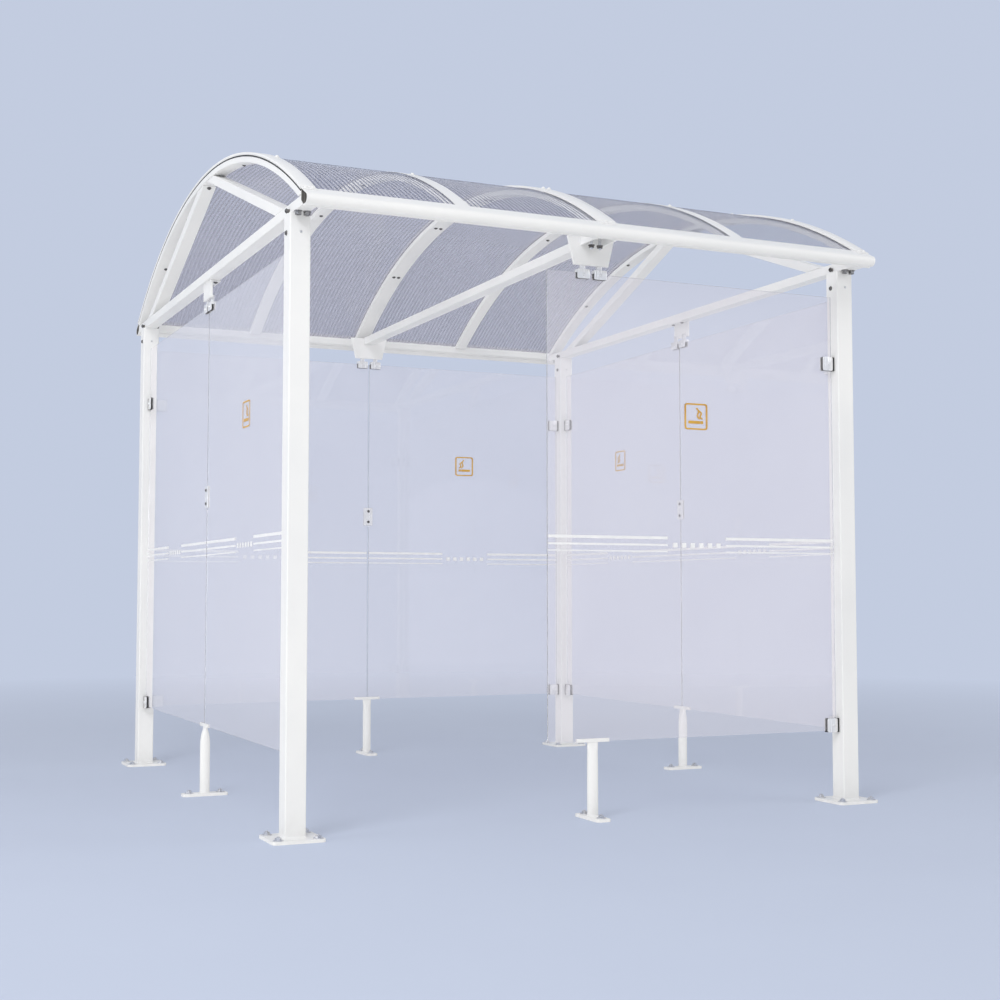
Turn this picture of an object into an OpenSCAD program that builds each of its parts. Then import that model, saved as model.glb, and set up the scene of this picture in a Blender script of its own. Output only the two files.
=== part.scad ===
// Smoking shelter: a white metal frame on four posts, a bowed twin-wall roof and glass walls.
// The front is at -Y, with the way in on its left half. Millimetres, +Z up.
// The origin is on the ground at the centre of the four posts.

/* [Plan] */
// Distance between post centres along the front
post_pitch_x = 2476; // [1800:1:4000]
// Distance between post centres from front to back
post_pitch_y = 2688; // [1800:1:4000]
// Length of the roof along the front
roof_l = 2544; // [1900:1:4200]
// Length of an eave beam
eave_l = 2536; // [1900:1:4200]
// Distance between the noses of the two eave beams
roof_w = 3120; // [2200:1:4600]

/* [Heights] */
// Top of the posts, where the tie beams rest
post_h = 2308; // [1900:1:2800]
// Crown of the roof
roof_top = 2806; // [2400:1:3400]
// Lower edge of the glass
glass_bottom = 307; // [100:1:500]
// Upper edge of the glass
glass_top = 2195; // [1600:1:2500]

/* [Posts and beams] */
// Side of a square post
post_w = 80; // [60:1:120]
// Rounding of the post corners
post_r = 5; // [2:1:10]
// Side of a post's base plate
plate_w = 200; // [140:1:260]
// Thickness of base plates and foot plates
plate_t = 12; // [8:1:20]
// Distance between anchor holes on a base plate
plate_pitch = 150; // [100:1:200]
// Diameter of the anchor holes
anchor_d = 14; // [10:1:20]
// Width of tie beams and rafters
beam_w = 60; // [40:1:100]
// Height of tie beams and rafters
beam_h = 40; // [30:1:80]
// Slope of the rafters in degrees
rafter_slope = 20.4; // [10:0.1:35]

/* [Roof] */
// Radius of the roof's outer surface
roof_r = 2818; // [2000:1:6000]
// Width of an arch and of an end arch's strip
arch_w = 60; // [40:1:100]
// Width of the middle arch, which carries the joint of the sheets
middle_arch_w = 80; // [60:1:120]
// Thickness of an arch
arch_t = 22; // [10:1:50]
// Thickness of a roof sheet
sheet_t = 10; // [6:1:25]
// Thickness of a cover strip
strip_t = 10; // [3:1:20]
// Depth of an eave beam, from its flat back to its nose
eave_d = 76; // [50:1:140]
// Lowest line of the eave beams, under the nose
eave_bottom = 2302; // [1900:1:2800]
// Height of the flat back's lower edge over that line
heel_rise = 24; // [0:1:40]
// Length of the level underside behind the nose
toe_l = 22; // [5:1:50]
// Radius of the eave nose
nose_r = 22; // [15:1:40]
// Slope of the top of an eave beam in degrees
eave_slope = 28; // [15:1:45]
// Wall of an eave beam
eave_wall = 4; // [2:1:8]

/* [Glass and fittings] */
// Thickness of the glass
glass_t = 8; // [6:1:15]
// Gap between glass and post
glass_gap = 10; // [5:1:30]
// Gap between two panes
seam_gap = 6; // [3:1:15]
// Left edge of the front pane, beside the way in
front_edge_x = -200; // [-600:1:300]
// Side of a glass clamp at a post
clamp_w = 60; // [40:1:80]
// Thickness of a clamp over everything
clamp_t = 28; // [20:1:40]
// Height of the lower clamps
clamp_low = 330; // [320:1:600]
// Height of the upper clamps
clamp_high = 1899; // [1500:1:2150]
// Width of a clamp under a bracket
hung_clamp_w = 57; // [40:1:80]
// Lower edge of the clamps under a bracket
hung_clamp_bottom = 2172; // [2100:1:2190]
// Upper edge of the clamps under a bracket
hung_clamp_top = 2210; // [2200:1:2225]
// Lower edge of the bracket plates
bracket_bottom = 2228; // [2212:1:2260]
// Thickness of the bracket plates
bracket_t = 10; // [6:1:16]
// Diameter of a leg tube
leg_d = 44; // [30:1:60]
// Height of the clips over the glass joints
clip_z = 1330; // [900:1:1600]

/* [Hidden] */
$fn = 96;
half_x = post_pitch_x / 2;
half_y = post_pitch_y / 2;
post_in_x = half_x - post_w / 2;
post_in_y = half_y - post_w / 2;
beam_top = post_h + beam_h;

// depths under the roof's outer surface
sheet_depth = strip_t;
arch_depth = sheet_depth + sheet_t;
roof_depth = arch_depth + arch_t;

// centre of the roof's arc, in the plane across the roof
roof_centre_z = roof_top - roof_r;

// eave beam section
eave_nose = roof_w / 2;
eave_back = eave_nose - eave_d;
nose_y = eave_nose - nose_r;
nose_z = eave_bottom + nose_r;
heel_z = eave_bottom + heel_rise;
heel_run = nose_y - toe_l - eave_back;
heel_slope = atan2(heel_rise, heel_run);
end_arch_x = roof_l / 2 - arch_w / 2;
quarter_arch_x = end_arch_x / 2;
sheet_joint = 8;

// rafters run from under the arches down to the top of a tie beam
rafter_top_z = roof_top + 10;
rafter_fall = tan(rafter_slope);
rafter_drop = beam_h / cos(rafter_slope);
rafter_gap = 80;

// brackets at the middle of the front and back
neck_w = 22;
neck_t = 12;
neck_lap = 14;
plate_top_w = 214;
plate_bottom_w = 158;
plate_top = beam_top - 4;
block_w = 100;
block_wall = 8;
side_plate_w = 135;
side_plate_x = half_x + neck_t / 2 + bracket_t / 2;
hung_offset = 10 + hung_clamp_w / 2;

// legs under the glass
foot_l = 200;
foot_w = 62;
foot_pitch = 140;
cradle_l = 146;
cradle_w = 24;
cradle_h = 24;
cradle_base = 12;
cradle_bottom = glass_bottom - cradle_base;
leg_neck_l = 62;
leg_neck_t = 12;
leg_round_top = 186;
leg_waist_z = 240;
leg_waist_l = 50;
leg_waist_t = 33;
leg_neck_z = 282;

// clips over the glass joints
clip_w = 50;
clip_h = 100;
clip_t = 5;

white = [0.95, 0.95, 0.95];
steel = [0.72, 0.73, 0.74];
clear = [0.75, 0.83, 0.86, 0.35];
opal = [0.66, 0.67, 0.75, 0.7];

// shapes that several pieces share

// a rectangle about the origin with round corners
module round_rect(w, d, r) {
    square([w - 2 * r, d], center = true);
    square([w, d - 2 * r], center = true);
    for (sx = [-1, 1], sy = [-1, 1])
        translate([sx * (w / 2 - r), sy * (d / 2 - r)]) circle(r = r);
}

// stands a drawing of the Y-Z plane up and gives it a width along X
module across(x0, x1) {
    translate([x0, 0, 0]) rotate([90, 0, 90]) linear_extrude(x1 - x0) children();
}

// the bowed band between two depths under the roof's outer surface, cut off upright at y_end and level at low_z
module roof_band(depth_out, depth_in, y_end, low_z = eave_bottom) {
    intersection() {
        translate([0, roof_centre_z]) difference() {
            circle(r = roof_r - depth_out, $fn = 360);
            circle(r = roof_r - depth_in, $fn = 360);
        }
        translate([-y_end, low_z]) square([2 * y_end, roof_top]);
    }
}

// frame

module post(sx, sy) {
    color(white)
        translate([sx * half_x, sy * half_y, plate_t])
            linear_extrude(post_h - plate_t) round_rect(post_w, post_w, post_r);
}

module base_plate(sx, sy) {
    color(white)
        translate([sx * half_x, sy * half_y, 0])
            linear_extrude(plate_t) difference() {
                round_rect(plate_w, plate_w, 18);
                for (hx = [-1, 1], hy = [-1, 1])
                    translate([hx, hy] * plate_pitch / 2) circle(d = anchor_d);
            }
}

module tie_beam(x, reach) {
    color(white)
        translate([x, 0, post_h])
            translate([-beam_w / 2, -reach, 0]) cube([beam_w, 2 * reach, beam_h]);
}

module rafter(sx, sy) {
    foot_top = (rafter_top_z - beam_top) / rafter_fall;
    foot_under = (rafter_top_z - rafter_drop - beam_top) / rafter_fall;
    head = rafter_gap / 2;
    color(white)
        mirror([0, sy > 0 ? 0 : 1, 0])
            across(sx * half_x - beam_w / 2, sx * half_x + beam_w / 2)
                intersection() {
                    polygon([
                        [head, rafter_top_z - rafter_drop - head * rafter_fall],
                        [head, rafter_top_z - head * rafter_fall],
                        [foot_top, beam_top],
                        [foot_under, beam_top]
                    ]);
                    translate([0, roof_centre_z]) circle(r = roof_r - roof_depth, $fn = 360);
                }
}

// the ends of the arches rest on the level of the tie beams' tops
module arch(x, w) {
    color(white)
        across(x - w / 2, x + w / 2) roof_band(arch_depth, roof_depth, eave_back, beam_top);
}

// a round nose, a sloping top, a flat back and an underside that rises to the back
module eave_section(inset) {
    r = nose_r - inset;
    back = eave_back + inset;
    bottom = eave_bottom + inset;
    rise_z = heel_z + inset / cos(heel_slope);
    tangent_y = nose_y + r * sin(eave_slope);
    tangent_z = nose_z + r * cos(eave_slope);
    translate([nose_y, nose_z]) circle(r = r);
    polygon([
        [back, rise_z - inset * tan(heel_slope)],
        [eave_back + (rise_z - bottom) / tan(heel_slope), bottom],
        [nose_y, bottom],
        [nose_y, nose_z],
        [tangent_y, tangent_z],
        [back, tangent_z + (tangent_y - back) * tan(eave_slope)]
    ]);
}

module eave_beam(sy) {
    color(white)
        mirror([0, sy > 0 ? 0 : 1, 0])
            across(-eave_l / 2, eave_l / 2) difference() {
                eave_section(0);
                eave_section(eave_wall);
            }
}

// roof covering

module roof_sheet(x0, x1) {
    color(opal) across(x0, x1) roof_band(sheet_depth, arch_depth, eave_back);
}

// over the ends of the sheets and over their joint
module cover_strips() {
    color(white) {
        for (x = [-end_arch_x, end_arch_x])
            across(x - arch_w / 2, x + arch_w / 2) roof_band(0, sheet_depth, eave_back);
        across(-middle_arch_w / 2, middle_arch_w / 2) roof_band(0, sheet_depth, eave_back);
    }
}

// brackets that hold the glass at its top

// a tapered plate on the end of the middle tie beam, with a channel out to the eave beam
module middle_bracket(sy) {
    color(white)
        mirror([0, sy > 0 ? 0 : 1, 0]) {
            translate([0, half_y + bracket_t / 2, 0])
                rotate([90, 0, 0])
                    linear_extrude(bracket_t)
                        polygon([
                            [-plate_bottom_w / 2, bracket_bottom],
                            [plate_bottom_w / 2, bracket_bottom],
                            [plate_top_w / 2, plate_top],
                            [-plate_top_w / 2, plate_top]
                        ]);
            channel_y = half_y + bracket_t / 2;
            channel_l = eave_back - channel_y;
            translate([-block_w / 2, channel_y, plate_top - block_wall])
                cube([block_w, channel_l, block_wall]);
            for (s = [-1, 1])
                translate([s * (block_w - block_wall) / 2 - block_wall / 2, channel_y, post_h])
                    cube([block_wall, channel_l, plate_top - post_h]);
        }
}

// a plate under the middle of a side tie beam
module side_bracket(sx) {
    color(white)
        translate([sx * side_plate_x - bracket_t / 2, -side_plate_w / 2, bracket_bottom])
            cube([bracket_t, side_plate_w, post_h - bracket_bottom]);
}

// legs that carry the glass at its foot

// drawn for a pane along X, with its foot plate across the pane
module leg_shape() {
    linear_extrude(plate_t) difference() {
        round_rect(foot_w, foot_l, 10);
        for (s = [-1, 1])
            translate([0, s * foot_pitch / 2]) circle(d = anchor_d);
    }
    translate([0, 0, plate_t]) cylinder(d = leg_d, h = leg_round_top - plate_t);
    hull() {
        translate([0, 0, leg_round_top]) cylinder(d = leg_d, h = 0.5, $fn = 48);
        translate([0, 0, leg_waist_z])
            scale([leg_waist_l / leg_waist_t, 1, 1]) cylinder(d = leg_waist_t, h = 0.5, $fn = 48);
        translate([-leg_neck_l / 2, -leg_neck_t / 2, leg_neck_z]) cube([leg_neck_l, leg_neck_t, 0.5]);
    }
    translate([-leg_neck_l / 2, -leg_neck_t / 2, leg_neck_z])
        cube([leg_neck_l, leg_neck_t, cradle_bottom - leg_neck_z]);
    translate([-cradle_l / 2, -cradle_w / 2, cradle_bottom])
        cube([cradle_l, cradle_w, cradle_base]);
    for (s = [-1, 1])
        translate([-cradle_l / 2, s > 0 ? glass_t / 2 : -cradle_w / 2, cradle_bottom])
            cube([cradle_l, (cradle_w - glass_t) / 2, cradle_h]);
}

module leg(x, y, turn) {
    color(white) translate([x, y, 0]) rotate([0, 0, turn]) leg_shape();
}

// glass

module pane_x(y, x0, x1) {
    color(clear)
        translate([x0, y - glass_t / 2, glass_bottom])
            cube([x1 - x0, glass_t, glass_top - glass_bottom]);
}

module pane_y(x, y0, y1) {
    color(clear)
        translate([x - glass_t / 2, y0, glass_bottom])
            cube([glass_t, y1 - y0, glass_top - glass_bottom]);
}

// clamps and clips

// drawn from the post's face along +X, with the pane in the X-Z plane
module clamp_shape() {
    jaw = (clamp_t - glass_t) / 2;
    translate([0, -clamp_t / 2, -clamp_w / 2]) cube([glass_gap - 1, clamp_t, clamp_w]);
    for (s = [-1, 1])
        translate([0, s > 0 ? glass_t / 2 : -clamp_t / 2, -clamp_w / 2])
            cube([clamp_w, jaw, clamp_w]);
}

module post_clamps() {
    places = [
        [-half_x, post_in_y, -90], [-half_x, -post_in_y, 90],
        [half_x, post_in_y, -90], [half_x, -post_in_y, 90],
        [-post_in_x, half_y, 0], [post_in_x, half_y, 180],
        [post_in_x, -half_y, 180]
    ];
    color(steel)
        for (p = places, z = [clamp_low, clamp_high])
            translate([p[0], p[1], z]) rotate([0, 0, p[2]]) clamp_shape();
}

// drawn for a pane along X, with a neck up to a bracket plate
module hung_clamp_shape(neck_top) {
    jaw = (clamp_t - glass_t) / 2;
    height = hung_clamp_top - hung_clamp_bottom;
    for (s = [-1, 1])
        translate([-hung_clamp_w / 2, s > 0 ? glass_t / 2 : -clamp_t / 2, hung_clamp_bottom])
            cube([hung_clamp_w, jaw, height]);
    translate([-hung_clamp_w / 2, -clamp_t / 2, glass_top + 1])
        cube([hung_clamp_w, clamp_t, hung_clamp_top - glass_top - 1]);
    translate([-neck_w / 2, -neck_t / 2, hung_clamp_top - 1])
        cube([neck_w, neck_t, neck_top - hung_clamp_top + 1]);
}

module hung_clamps() {
    color(steel)
        for (side = [-1, 1]) {
            for (sy = [-1, 1])
                translate([side * hung_offset, sy * half_y, 0]) hung_clamp_shape(bracket_bottom);
            for (sx = [-1, 1])
                translate([sx * half_x, side * hung_offset, 0])
                    rotate([0, 0, 90]) hung_clamp_shape(bracket_bottom + neck_lap);
        }
}

// drawn for a joint on a pane along X
module clip_pair() {
    for (s = [-1, 1])
        translate([-clip_w / 2, s > 0 ? glass_t / 2 : -glass_t / 2 - clip_t, clip_z - clip_h / 2])
            cube([clip_w, clip_t, clip_h]);
}

module joint_clips() {
    color(steel) {
        translate([0, half_y, 0]) clip_pair();
        for (sx = [-1, 1])
            translate([sx * half_x, 0, 0]) rotate([0, 0, 90]) clip_pair();
    }
}

pane_end_x = post_in_x - glass_gap;
pane_end_y = post_in_y - glass_gap;
pane_seam = seam_gap / 2;

post(-1, -1);  // post_front_left
post(1, -1);  // post_front_right
post(-1, 1);  // post_back_left
post(1, 1);  // post_back_right
base_plate(-1, -1);  // base_plate_front_left
base_plate(1, -1);  // base_plate_front_right
base_plate(-1, 1);  // base_plate_back_left
base_plate(1, 1);  // base_plate_back_right
tie_beam(-half_x, eave_back);  // tie_beam_left
tie_beam(0, half_y - bracket_t / 2);  // tie_beam_middle
tie_beam(half_x, eave_back);  // tie_beam_right
rafter(-1, -1);  // rafter_left_front
rafter(-1, 1);  // rafter_left_back
rafter(1, -1);  // rafter_right_front
rafter(1, 1);  // rafter_right_back
arch(-end_arch_x, arch_w);  // arch_left
arch(-quarter_arch_x, arch_w);  // arch_left_quarter
arch(0, middle_arch_w);  // arch_middle
arch(quarter_arch_x, arch_w);  // arch_right_quarter
arch(end_arch_x, arch_w);  // arch_right
eave_beam(-1);  // eave_beam_front
eave_beam(1);  // eave_beam_back
roof_sheet(-roof_l / 2, -sheet_joint / 2);  // roof_sheet_left
roof_sheet(sheet_joint / 2, roof_l / 2);  // roof_sheet_right
cover_strips();
middle_bracket(-1);  // bracket_front
middle_bracket(1);  // bracket_back
side_bracket(-1);  // bracket_left
side_bracket(1);  // bracket_right
leg(0, -half_y, 0);  // leg_front
leg(0, half_y, 0);  // leg_back
leg(-half_x, 0, 90);  // leg_left
leg(half_x, 0, 90);  // leg_right
pane_x(-half_y, front_edge_x, pane_end_x);  // glass_front
pane_x(half_y, -pane_end_x, -pane_seam);  // glass_back_left
pane_x(half_y, pane_seam, pane_end_x);  // glass_back_right
pane_y(-half_x, -pane_end_y, -pane_seam);  // glass_left_front
pane_y(-half_x, pane_seam, pane_end_y);  // glass_left_back
pane_y(half_x, -pane_end_y, -pane_seam);  // glass_right_front
pane_y(half_x, pane_seam, pane_end_y);  // glass_right_back
post_clamps();
hung_clamps();
joint_clips();
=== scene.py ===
"""Looks of a smoking shelter: white painted frame, bowed twin-wall roof and clamped glass walls.
Metres, +Z up, the front at -Y, the origin on the ground at the centre of the four posts."""

import math

import bmesh
import bpy
from mathutils import Matrix, Vector


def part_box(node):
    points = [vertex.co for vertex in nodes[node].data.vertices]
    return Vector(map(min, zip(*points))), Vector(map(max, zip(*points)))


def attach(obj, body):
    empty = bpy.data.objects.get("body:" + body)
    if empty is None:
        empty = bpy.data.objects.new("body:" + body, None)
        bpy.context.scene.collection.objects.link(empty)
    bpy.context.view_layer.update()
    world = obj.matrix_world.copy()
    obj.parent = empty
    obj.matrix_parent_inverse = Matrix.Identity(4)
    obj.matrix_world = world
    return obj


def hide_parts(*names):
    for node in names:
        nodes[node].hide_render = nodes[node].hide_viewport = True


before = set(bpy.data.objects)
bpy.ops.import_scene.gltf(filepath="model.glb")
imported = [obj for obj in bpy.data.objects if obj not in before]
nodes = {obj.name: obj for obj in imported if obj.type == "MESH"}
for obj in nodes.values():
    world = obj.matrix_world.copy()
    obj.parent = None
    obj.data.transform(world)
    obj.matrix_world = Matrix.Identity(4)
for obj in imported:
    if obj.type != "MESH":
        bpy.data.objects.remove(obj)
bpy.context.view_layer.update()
scene = bpy.context.scene

# Sizes read from the frame
post_low, post_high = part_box("post_front_right")
HALF_X = (post_low.x + post_high.x) / 2
HALF_Y = -(post_low.y + post_high.y) / 2
POST_HALF = (post_high.x - post_low.x) / 2
POST_TOP = post_high.z
PLATE_TOP = post_low.z
tie_low, tie_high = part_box("tie_beam_right")
TIE_HALF = (tie_high.x - tie_low.x) / 2
strip_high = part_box("cover_strips")[1]
ROOF_TOP = strip_high.z
ROOF_HALF_L = strip_high.x
STRIP_END = strip_high.y
sheet_low, sheet_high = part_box("roof_sheet_right")
SHEET_END = sheet_high.y
SHEET_IN = sheet_low.x
SHEET_DEPTH = ROOF_TOP - sheet_high.z
arch_low, arch_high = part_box("arch_right")
ARCH_DEPTH = ROOF_TOP - arch_high.z
ARCH_W = arch_high.x - arch_low.x
MIDDLE_ARCH_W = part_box("arch_middle")[1].x * 2
eave_low, eave_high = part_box("eave_beam_back")
EAVE_BACK = eave_low.y
EAVE_NOSE = eave_high.y
EAVE_LOW = eave_low.z
EAVE_HALF_L = eave_high.x
glass_low, glass_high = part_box("glass_right_front")
GLASS_T = glass_high.x - glass_low.x
GLASS_LOW = glass_low.z
GLASS_TOP = glass_high.z
bracket_low, bracket_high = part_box("bracket_right")
BRACKET_LOW = bracket_low.z

# Roof bow: a circular arc about a line along X
ROOF_R = 2.818
ROOF_CENTRE_Z = ROOF_TOP - ROOF_R
ARCH_T = 0.022
END_ARCH_X = ROOF_HALF_L - ARCH_W / 2
QUARTER_ARCH_X = END_ARCH_X / 2
ARCH_PLACES = (-END_ARCH_X, -QUARTER_ARCH_X, 0.0, QUARTER_ARCH_X, END_ARCH_X)
STRIP_PLACES = (-END_ARCH_X, 0.0, END_ARCH_X)
ARC_STEPS = 56
RIB_PITCH = 0.020

# Backdrop colour, and the light that shows a colour about as it is written
BACKDROP = (0.545, 0.605, 0.745)
FLOOR_DARK = (0.550, 0.608, 0.748)
FLOOR_LIGHT = (0.558, 0.617, 0.757)
SKY_LIGHT = 0.68
FLOOR_GLOW = 0.05
ROOT = "root"

# Angles past which an edge stays sharp, in degrees
SHARP = 35.0
SHARP_ON_ROUNDS = 40.0
SHARP_ON_EAVES = 28.0
SHARP_ON_WELDS = 50.0

NO_LENGTH = 1e-9


# Shapes

def roof_point(x, y, depth=0.0):
    """A point under the roof's outer surface."""
    r = ROOF_R - depth
    return Vector((x, y, ROOF_CENTRE_Z + math.sqrt(r * r - y * y)))


def roof_normal(y, depth=0.0):
    """The direction out of the roof at y."""
    s = y / (ROOF_R - depth)
    return Vector((0.0, s, math.sqrt(1.0 - s * s)))


def new_object(name, data):
    made = bpy.data.objects.new(name, data)
    scene.collection.objects.link(made)
    return made


def mesh_from(bm, name, materials=()):
    """Turns bm into a mesh with its finishes."""
    mesh = bpy.data.meshes.new(name)
    bm.to_mesh(mesh)
    bm.free()
    for finish in materials:
        mesh.materials.append(finish)
    return mesh


def join(bm, part, place=None, slot=0):
    """Moves a finished part into place and adds it to bm, in one material slot or, with None, in its own."""
    if place is not None:
        part.transform(place)
    if slot is not None:
        for face in part.faces:
            face.material_index = slot
    carrier = mesh_from(part, "carrier")
    bm.from_mesh(carrier)
    bpy.data.meshes.remove(carrier)


def ring_faces(part, first, second):
    """Faces all the way round between two rings of corners."""
    for i in range(len(first)):
        j = (i + 1) % len(first)
        part.faces.new((first[i], first[j], second[j], second[i]))


def closed_rings(part, rings):
    """Faces from ring to ring, with a cap on both ends."""
    for low, high in zip(rings, rings[1:]):
        ring_faces(part, low, high)
    part.faces.new(rings[0][::-1])
    part.faces.new(rings[-1])


def round_edges(part, edges, width):
    if width > 0:
        bmesh.ops.bevel(part, geom=edges, offset=width, segments=2, profile=0.5, affect="EDGES")


def block(low, high, edge):
    """A box between two corners with rounded edges."""
    low, high = Vector(low), Vector(high)
    part = bmesh.new()
    place = Matrix.Translation((low + high) / 2) @ Matrix.Diagonal((*(high - low), 1.0))
    bmesh.ops.create_cube(part, size=1.0, matrix=place)
    round_edges(part, part.edges[:], edge)
    return part


def prism(outline, depth, edge=0.0):
    """An outline in the X-Y plane, given anticlockwise, made thick along +Z."""
    part = bmesh.new()
    base = [part.verts.new((x, y, 0.0)) for x, y in outline]
    top = [part.verts.new((x, y, depth)) for x, y in outline]
    closed_rings(part, (base, top))
    rims = [e for e in part.edges if abs(e.verts[0].co.z - e.verts[1].co.z) < NO_LENGTH]
    round_edges(part, rims, edge)
    return part


def frame_ring(outer, inner, depth):
    """The band between two outlines with the same number of points, made thick along +Z."""
    part = bmesh.new()
    rings = []
    for outline in (outer, inner):
        for z in (0.0, depth):
            rings.append([part.verts.new((x, y, z)) for x, y in outline])
    out_low, out_top, in_low, in_top = rings
    for first, second in ((out_low, out_top), (out_top, in_top), (in_top, in_low), (in_low, out_low)):
        ring_faces(part, first, second)
    return part


def lathe(profile, steps):
    """A turned shape about +Z from (radius, height) points, closed where the radius is 0."""
    part = bmesh.new()
    rings = []
    for r, z in profile:
        if r < NO_LENGTH:
            rings.append([part.verts.new((0.0, 0.0, z))])
            continue
        angles = [2 * math.pi * i / steps for i in range(steps)]
        rings.append([part.verts.new((r * math.cos(a), r * math.sin(a), z)) for a in angles])
    for low, high in zip(rings, rings[1:]):
        for i in range(steps):
            j = (i + 1) % steps
            corners = [low[i % len(low)], low[j % len(low)], high[j % len(high)], high[i % len(high)]]
            part.faces.new(list(dict.fromkeys(corners)))
    return part


def rounded(half_w, half_h, r, steps=6):
    """A rectangle's outline with round corners, anticlockwise about the origin."""
    points = []
    for cx, cy, start in ((1, 1, 0), (-1, 1, 90), (-1, -1, 180), (1, -1, 270)):
        for i in range(steps + 1):
            a = math.radians(start + 90 * i / steps)
            points.append((cx * (half_w - r) + r * math.cos(a), cy * (half_h - r) + r * math.sin(a)))
    return points


def arc_bar(x0, x1, depth_out, depth_in, end, steps=ARC_STEPS):
    """A bar that follows the roof's bow between two depths, cut off upright at the ends."""
    part = bmesh.new()
    rings = []
    for i in range(steps + 1):
        share = -1.0 + 2.0 * i / steps
        ring = []
        for x, depth in ((x0, depth_out), (x1, depth_out), (x1, depth_in), (x0, depth_in)):
            r = ROOF_R - depth
            a = share * math.asin(end / r)
            ring.append(part.verts.new((x, r * math.sin(a), ROOF_CENTRE_Z + r * math.cos(a))))
        rings.append(ring)
    closed_rings(part, rings)
    bmesh.ops.recalc_face_normals(part, faces=part.faces)
    return part


def piece(bm, name, materials, sharp=SHARP, replaces=()):
    """Turns bm into a named piece of the shelter that rides on the frame."""
    return settle(new_object(name, mesh_from(bm, name, materials)), sharp, replaces)


def settle(made, sharp=SHARP, replaces=()):
    """Smooths a piece up to its sharp edges and hands it to the frame."""
    made.data.shade_smooth()
    made.data.set_sharp_from_angle(angle=math.radians(sharp))
    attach(made, ROOT)
    if replaces:
        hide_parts(*replaces)
    return made


def stand(origin, right, up):
    """The place of a flat drawing: its X along right, its Y along up, its Z out of the surface."""
    right, up = Vector(right), Vector(up)
    out = right.cross(up)
    turn = Matrix((right, up, out)).transposed().to_4x4()
    return Matrix.Translation(Vector(origin)) @ turn


# Finishes

def finish_base(name):
    made = bpy.data.materials.new(name)
    made.use_nodes = True
    return made, made.node_tree, made.node_tree.nodes["Principled BSDF"]


def object_coords(tree, stretch=(1.0, 1.0, 1.0)):
    coords = tree.nodes.new("ShaderNodeTexCoord")
    mapping = tree.nodes.new("ShaderNodeMapping")
    mapping.inputs["Scale"].default_value = stretch
    tree.links.new(coords.outputs["Object"], mapping.inputs["Vector"])
    return mapping.outputs["Vector"]


def noise(tree, scale, detail, stretch=(1.0, 1.0, 1.0)):
    made = tree.nodes.new("ShaderNodeTexNoise")
    made.inputs["Scale"].default_value = scale
    made.inputs["Detail"].default_value = detail
    tree.links.new(object_coords(tree, stretch), made.inputs["Vector"])
    return made.outputs["Fac"]


def spread(tree, value, low, high, from_low=0.3, from_high=0.7):
    made = tree.nodes.new("ShaderNodeMapRange")
    made.inputs["From Min"].default_value = from_low
    made.inputs["From Max"].default_value = from_high
    made.inputs["To Min"].default_value = low
    made.inputs["To Max"].default_value = high
    tree.links.new(value, made.inputs["Value"])
    return made.outputs["Result"]


COLOUR_SOCKETS = (6, 7)
COLOUR_RESULT = 2


def blend_colours(tree, share, first, second):
    """A colour between first and second, each a colour or a socket."""
    made = tree.nodes.new("ShaderNodeMix")
    made.data_type = "RGBA"
    tree.links.new(share, made.inputs["Factor"])
    for key, colour in zip(COLOUR_SOCKETS, (first, second)):
        if isinstance(colour, tuple):
            made.inputs[key].default_value = (*colour, 1.0)
        else:
            tree.links.new(colour, made.inputs[key])
    return made.outputs[COLOUR_RESULT]


def shade(tree, shader, share, dark, light):
    """Sets the colour of a finish, between dark and light."""
    tree.links.new(blend_colours(tree, share, dark, light), shader.inputs["Base Color"])


def roughen(tree, shader, value, low, high):
    """Sets how rough a finish is, between low and high."""
    tree.links.new(spread(tree, value, low, high), shader.inputs["Roughness"])


def relief(tree, shader, height, strength, distance):
    made = tree.nodes.new("ShaderNodeBump")
    made.inputs["Strength"].default_value = strength
    made.inputs["Distance"].default_value = distance
    tree.links.new(height, made.inputs["Height"])
    tree.links.new(made.outputs["Normal"], shader.inputs["Normal"])


def arithmetic(tree, how, first, second):
    made = tree.nodes.new("ShaderNodeMath")
    made.operation = how
    for key, value in ((0, first), (1, second)):
        if isinstance(value, float):
            made.inputs[key].default_value = value
        else:
            tree.links.new(value, made.inputs[key])
    return made.outputs["Value"]


def along_axis(tree, vector, axis):
    """One of a vector's three numbers."""
    split = tree.nodes.new("ShaderNodeSeparateXYZ")
    tree.links.new(vector, split.inputs["Vector"])
    return split.outputs[axis]


def facing_along(tree, axis):
    """How far the surface faces along an axis."""
    geometry = tree.nodes.new("ShaderNodeNewGeometry")
    return along_axis(tree, geometry.outputs["Normal"], axis)


def blend_shaders(tree, share, first, second, end):
    """Shows the first where share is 0 and the second where it is 1."""
    either = tree.nodes.new("ShaderNodeMixShader")
    tree.links.new(share, either.inputs["Fac"])
    tree.links.new(first, either.inputs[1])
    tree.links.new(second, either.inputs[2])
    tree.links.new(either.outputs["Shader"], tree.nodes[end].inputs["Surface"])


def let_light_through(tree, shader, tint):
    """Lets lamps and bounced light pass, so that what is behind is not left in the dark."""
    path = tree.nodes.new("ShaderNodeLightPath")
    passing = arithmetic(tree, "MAXIMUM", path.outputs["Is Shadow Ray"], path.outputs["Is Diffuse Ray"])
    clear = tree.nodes.new("ShaderNodeBsdfTransparent")
    clear.inputs["Color"].default_value = (*tint, 1.0)
    blend_shaders(tree, passing, shader.outputs["BSDF"], clear.outputs["BSDF"], "Material Output")


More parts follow.
